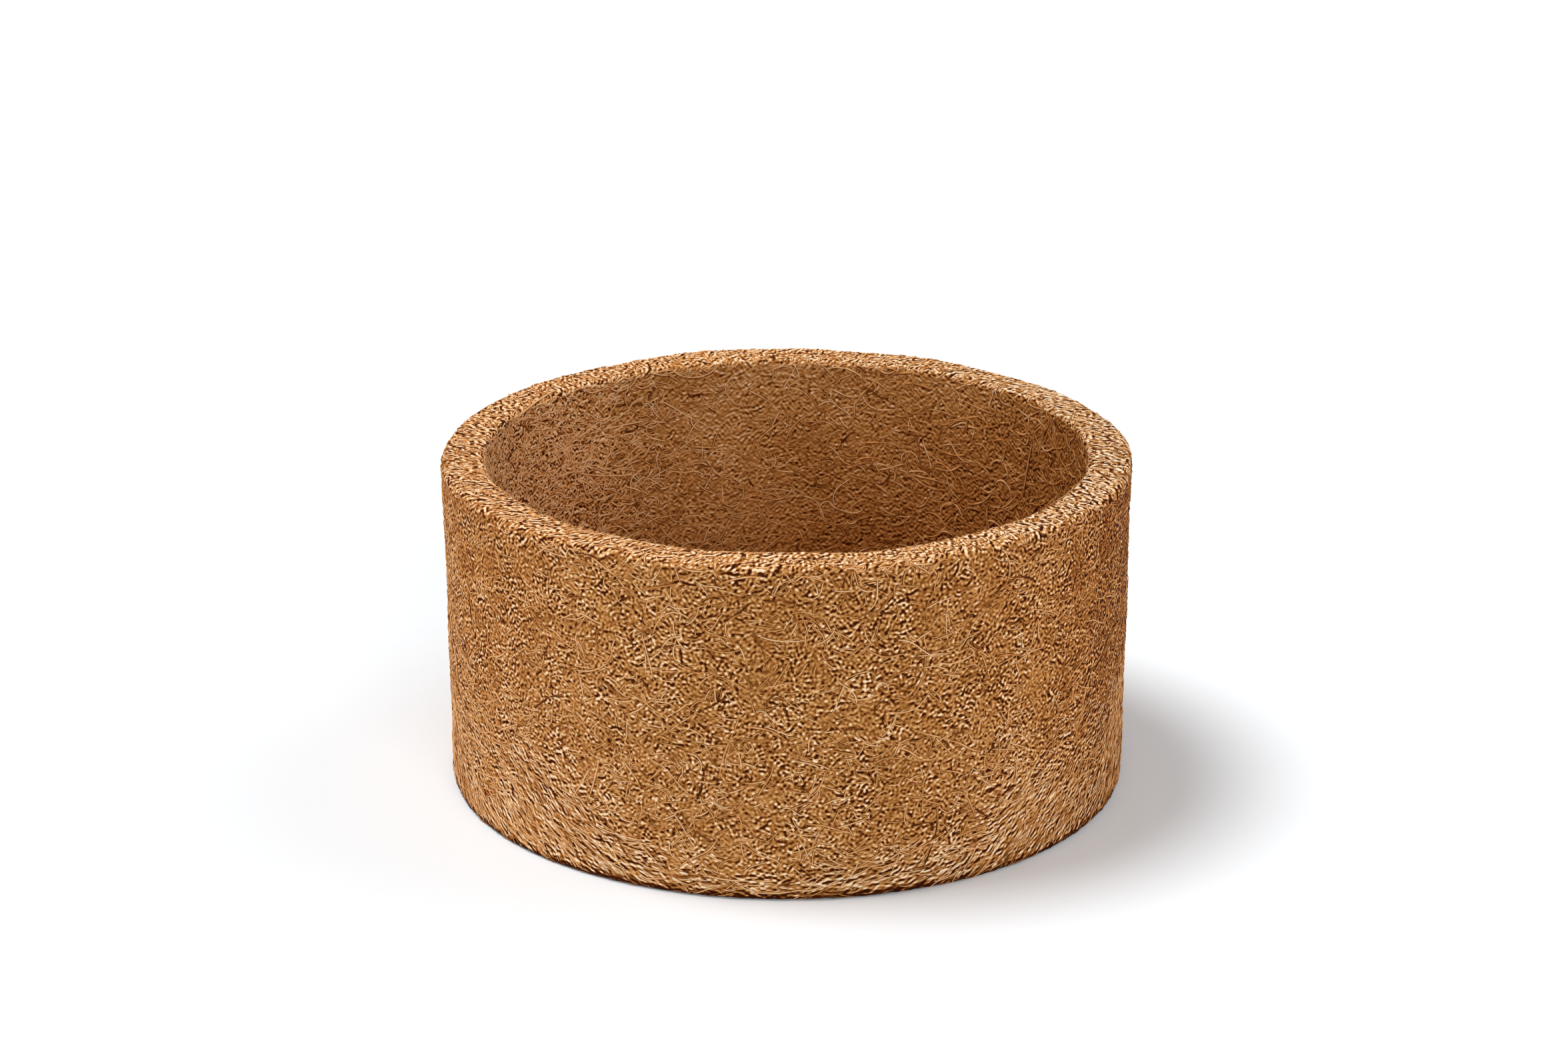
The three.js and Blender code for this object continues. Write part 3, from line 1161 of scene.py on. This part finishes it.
def floor_strands(name, seed, count, bold):
    """Strands that lie every way on the floor. Those that would reach into the wall are drawn in."""
    random = np.random.default_rng(seed)
    angle = random.uniform(0, TURN, count)
    away = floor_radius * np.sqrt(random.uniform(0, 1, count))
    path = wander(random, random.uniform(0, TURN, count), np.zeros(count), LOOSE)
    place = np.stack([away * np.cos(angle), away * np.sin(angle)])[:, :, None] + path
    place *= np.minimum(1, floor_radius / np.hypot(*place))
    level = floor_top - DISC_DEPTH + weave(random, count, LOOSE) + LOOSE.weave
    points = together(*place, level)
    upward = np.broadcast_to([0.0, 0.0, 1.0], points.shape)
    tone = np.full(count, DISC_TONE)
    bold = bold * random.laplace(*BOLDNESS, count)
    strand_piece(name, "inner_felt", "floor_disc", random, LOOSE, points, upward, tone, bold, DISC_ROSINESS)


def loose_strands(name, face, lay, angles, seed, count, bold):
    """Strands, spread at random over a face between two angles."""
    random = np.random.default_rng(seed)
    angle = random.uniform(*angles, count)
    along = random.uniform(*face.stretch, count)
    path = wander(random, *drawn_headings(random, face, angle, along), lay)
    laid_strands(name, random, face, lay, angle, along, path, bold * random.laplace(*BOLDNESS, count))


low_face = replace(outer_face, stretch=(foot_arc[1], COMB_HIGH))
WALL_STRANDS = [  # name, face, lay, angles, seed of the draw, how many and how bold
    ("outer_strands", outer_face, LOOSE, ALL_ROUND, 30, 4000, 0.46),
    ("crossing_strands", outer_face, CROSSING, ALL_ROUND, 33, 1500, 0.5),
    ("low_strands", low_face, LOOSE, ALL_ROUND, 31, 1500, 0.42),
    ("husk_bits", outer_face, HUSK, ALL_ROUND, 32, 300, -0.5),
    ("inner_strands", inner_face, LONG, ALL_ROUND, 50, 3000, 0.4),
    ("inner_left_strands", inner_face, THICK, INNER_LEFT, 51, 1900, 0.5),
    ("rim_strands", rim_face, CUT, ALL_ROUND, 60, 1800, 0.5),
]
for strands in WALL_STRANDS:
    loose_strands(*strands)
floor_strands("floor_strands", seed=70, count=2600, bold=0.34)

# %% [markdown]
# A few longer strands have strayed from the mat where they catch the eye: along both sides of the lip, in a
# loop that hangs from it at the back, and across the inner wall. They are placed one by one.

# %% Place the strays
STRAY_BOLD = 0.45
LIFTED = {"level": (0.1, 0.25), "weave": 0.1, "tuck": 0.4, "flat": 0.8}
STRAY = replace(LONG, width=(0.4, 0.5), fleck=0.04, steps=16, **LIFTED)
STRAYS = [  # degrees round the pot, mm down from the lip, heading in degrees, length, turn along each mm
    (-28, 0.0, 0, 29, 0.0),
    (151, 0.2, 7, 31, 0.0),
    (109, 2.0, 0, 21, -0.09),
    (33, 22.0, 77, 25, 0.0),
    (129, 31.0, -12, 28, -0.012),
    (127, 16.0, 0, 26, 0.0),
]


def stray_strands():
    """The strays, on the lip and the inner wall."""
    angle, down, heading, length, curl = np.array(STRAYS, float).T
    still = np.zeros(len(STRAYS))
    path = flat_paths(np.radians(heading), length, curl, still, still, STRAY.steps)
    face = replace(inner_face, stretch=(rim_middle, skin_end))
    along = sum(lip_arc) / 2 + down
    bold = np.full(len(STRAYS), STRAY_BOLD)
    random = np.random.default_rng(80)
    laid_strands("stray_strands", random, face, STRAY, np.radians(angle), along, path, bold)


stray_strands()

# %% [markdown]
# ## Latex
# Between the plies and in the seams the cured latex is the CAD's own, hidden in the felt. It is cream and
# slightly glossy, a little uneven where it soaked in.

# %% Finish the latex
LATEX_PALE = srgb(226, 204, 160)
LATEX_DEEP = srgb(188, 158, 104)
LATEX_NOISE = {"Scale": 220.0, "Detail": 3.0}
LATEX_ROUGHNESS, LATEX_ROUGHER = 0.3, 0.3


def latex_finish():
    """Cured latex: two tones of cream by a soft noise, which also changes the gloss."""
    material, tree, shader = new_material("cured_latex")
    place = tree.add("TexCoord", output="Object")
    noise = tree.add("TexNoise", sockets={"Vector": place, **LATEX_NOISE})
    tree.plug(shader.inputs["Base Color"], tree.mix(noise, LATEX_DEEP, LATEX_PALE))
    tree.plug(shader.inputs["Roughness"], LATEX_ROUGHNESS + LATEX_ROUGHER * noise)
    return material


latex = latex_finish()
latex_nodes = [name for name in nodes if name.endswith(("latex", "coat"))]
for name in latex_nodes:
    nodes[name].data.materials.clear()
    nodes[name].data.materials.append(latex)
print("latex on", ", ".join(latex_nodes))
